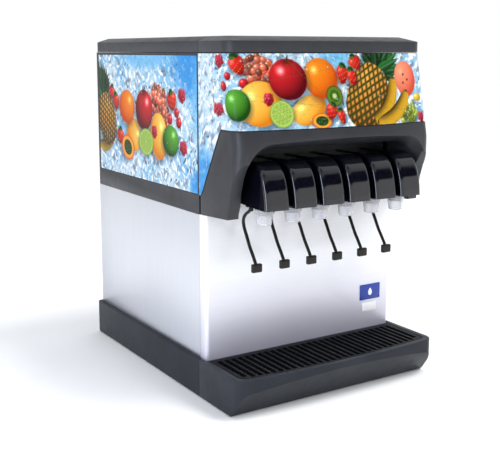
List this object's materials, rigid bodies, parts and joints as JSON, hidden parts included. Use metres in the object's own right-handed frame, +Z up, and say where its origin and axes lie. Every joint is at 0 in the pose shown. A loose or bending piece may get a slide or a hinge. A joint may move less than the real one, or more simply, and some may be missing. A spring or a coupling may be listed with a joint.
{
  "type": "fountain soda dispenser",
  "caption": "Countertop post-mix drink dispenser with a row of lever valves, bowed fruit-print upper panels, stainless body and pull-out drip tray.",
  "frame": {"origin": "on the counter under the middle of the bounding box", "axes": "+Z up, -Y towards the customer at the front, +X to the right seen from the front"},
  "size_m": [0.476, 0.672, 0.695],
  "materials": {
    "stainless_front": "satin",
    "stainless_side": "brushed",
    "dark_plastic": "fine texture",
    "tray_plastic": "fine texture",
    "grille_plastic": "satin",
    "gloss_black": "polished",
    "lever_plastic": "satin",
    "clear_nozzle": "clear",
    "valve_grey": "satin",
    "graphic_print": "printed film",
    "galvanised": "satin",
    "bath_steel": "satin",
    "foam": "matt",
    "copper": "drawn tube",
    "coil_steel": "drawn tube",
    "black_enamel": "gloss",
    "fins": "satin",
    "rubber_black": "matt",
    "zinc_screw": "satin",
    "badge_blue": "gloss"
  },
  "bodies": {
    "housing": {"base_pan": "tray_plastic", "rubber_feet": "rubber_black", "splash_panel": "stainless_front", "side_panel_left": "stainless_side", "side_panel_right": "stainless_side", "rear_panel": "galvanised", "inlet_fittings": "coil_steel", "cord_gland": "dark_plastic", "upper_frame": "dark_plastic", "graphic_panel_left": "graphic_print", "graphic_panel_right": "graphic_print", "front_graphic": "graphic_print", "valve_bezel": "dark_plastic", "valve_mount_plate": "dark_plastic", "front_hood": "dark_plastic", "tank_insulation": "foam", "water_tank": "bath_steel", "evaporator_coil": "copper", "product_coil": "coil_steel", "carbonator_tank": "bath_steel", "agitator_motor": "black_enamel", "refrigeration_deck": "galvanised", "compressor": "black_enamel", "condenser_core": "fins", "fan_shroud": "galvanised", "fan_motor": "black_enamel", "water_pump": "galvanised", "control_box": "galvanised", "filter_drier": "copper", "badge": "badge_blue", "panel_screws": "zinc_screw", "valve_cover_1": "gloss_black", "valve_body_1": "valve_grey", "valve_cover_2": "gloss_black", "valve_body_2": "valve_grey", "valve_cover_3": "gloss_black", "valve_body_3": "valve_grey", "valve_cover_4": "gloss_black", "valve_body_4": "valve_grey", "valve_cover_5": "gloss_black", "valve_body_5": "valve_grey", "valve_cover_6": "gloss_black", "valve_body_6": "valve_grey"},
    "lid": {"top_cover": "dark_plastic"},
    "tray": {"drip_tray": "tray_plastic"},
    "cup_rest": {"cup_rest": "grille_plastic"},
    "agitator": {"agitator_impeller": "coil_steel"},
    "fan": {"fan_blade": "fins"},
    "nozzle_1": {"nozzle_1": "clear_nozzle"},
    "lever_1": {"valve_lever_1": "lever_plastic"},
    "nozzle_2": {"nozzle_2": "clear_nozzle"},
    "lever_2": {"valve_lever_2": "lever_plastic"},
    "nozzle_3": {"nozzle_3": "clear_nozzle"},
    "lever_3": {"valve_lever_3": "lever_plastic"},
    "nozzle_4": {"nozzle_4": "clear_nozzle"},
    "lever_4": {"valve_lever_4": "lever_plastic"},
    "nozzle_5": {"nozzle_5": "clear_nozzle"},
    "lever_5": {"valve_lever_5": "lever_plastic"},
    "nozzle_6": {"nozzle_6": "clear_nozzle"},
    "lever_6": {"valve_lever_6": "lever_plastic"}
  },
  "joints": [
    {"name": "lid_lift", "type": "slide", "parent": "housing", "child": "lid", "axis": [0, 0, 1], "range_m": [0, 0.06]},
    {"name": "tray_pull", "type": "slide", "parent": "housing", "child": "tray", "axis": [0, -1, 0], "range_m": [0, 0.12]},
    {"name": "cup_rest_lift", "type": "slide", "parent": "tray", "child": "cup_rest", "axis": [0, 0, 1], "range_m": [0, 0.04]},
    {"name": "agitator_spin", "type": "hinge", "parent": "housing", "child": "agitator", "pos_m": [0.068, 0.071, 0.3], "axis": [0, 0, 1], "continuous": true},
    {"name": "fan_spin", "type": "hinge", "parent": "housing", "child": "fan", "pos_m": [0.098, 0.242, 0.48], "axis": [0, 1, 0], "continuous": true},
    {"name": "nozzle_1_twist", "type": "hinge", "parent": "housing", "child": "nozzle_1", "pos_m": [-0.15875, -0.283, 0.37], "axis": [0, 0, 1], "range_deg": [0, 40]},
    {"name": "lever_1_push", "type": "hinge", "parent": "housing", "child": "lever_1", "pos_m": [-0.15875, -0.239, 0.385], "axis": [1, 0, 0], "range_deg": [0, 12], "stiffness_Nm_per_rad": 0.4},
    {"name": "nozzle_2_twist", "type": "hinge", "parent": "housing", "child": "nozzle_2", "pos_m": [-0.09525, -0.283, 0.37], "axis": [0, 0, 1], "range_deg": [0, 40]},
    {"name": "lever_2_push", "type": "hinge", "parent": "housing", "child": "lever_2", "pos_m": [-0.09525, -0.239, 0.385], "axis": [1, 0, 0], "range_deg": [0, 12], "stiffness_Nm_per_rad": 0.4},
    {"name": "nozzle_3_twist", "type": "hinge", "parent": "housing", "child": "nozzle_3", "pos_m": [-0.03175, -0.283, 0.37], "axis": [0, 0, 1], "range_deg": [0, 40]},
    {"name": "lever_3_push", "type": "hinge", "parent": "housing", "child": "lever_3", "pos_m": [-0.03175, -0.239, 0.385], "axis": [1, 0, 0], "range_deg": [0, 12], "stiffness_Nm_per_rad": 0.4},
    {"name": "nozzle_4_twist", "type": "hinge", "parent": "housing", "child": "nozzle_4", "pos_m": [0.03175, -0.283, 0.37], "axis": [0, 0, 1], "range_deg": [0, 40]},
    {"name": "lever_4_push", "type": "hinge", "parent": "housing", "child": "lever_4", "pos_m": [0.03175, -0.239, 0.385], "axis": [1, 0, 0], "range_deg": [0, 12], "stiffness_Nm_per_rad": 0.4},
    {"name": "nozzle_5_twist", "type": "hinge", "parent": "housing", "child": "nozzle_5", "pos_m": [0.09525, -0.283, 0.37], "axis": [0, 0, 1], "range_deg": [0, 40]},
    {"name": "lever_5_push", "type": "hinge", "parent": "housing", "child": "lever_5", "pos_m": [0.09525, -0.239, 0.385], "axis": [1, 0, 0], "range_deg": [0, 12], "stiffness_Nm_per_rad": 0.4},
    {"name": "nozzle_6_twist", "type": "hinge", "parent": "housing", "child": "nozzle_6", "pos_m": [0.15875, -0.283, 0.37], "axis": [0, 0, 1], "range_deg": [0, 40]},
    {"name": "lever_6_push", "type": "hinge", "parent": "housing", "child": "lever_6", "pos_m": [0.15875, -0.239, 0.385], "axis": [1, 0, 0], "range_deg": [0, 12], "stiffness_Nm_per_rad": 0.4}
  ]
}
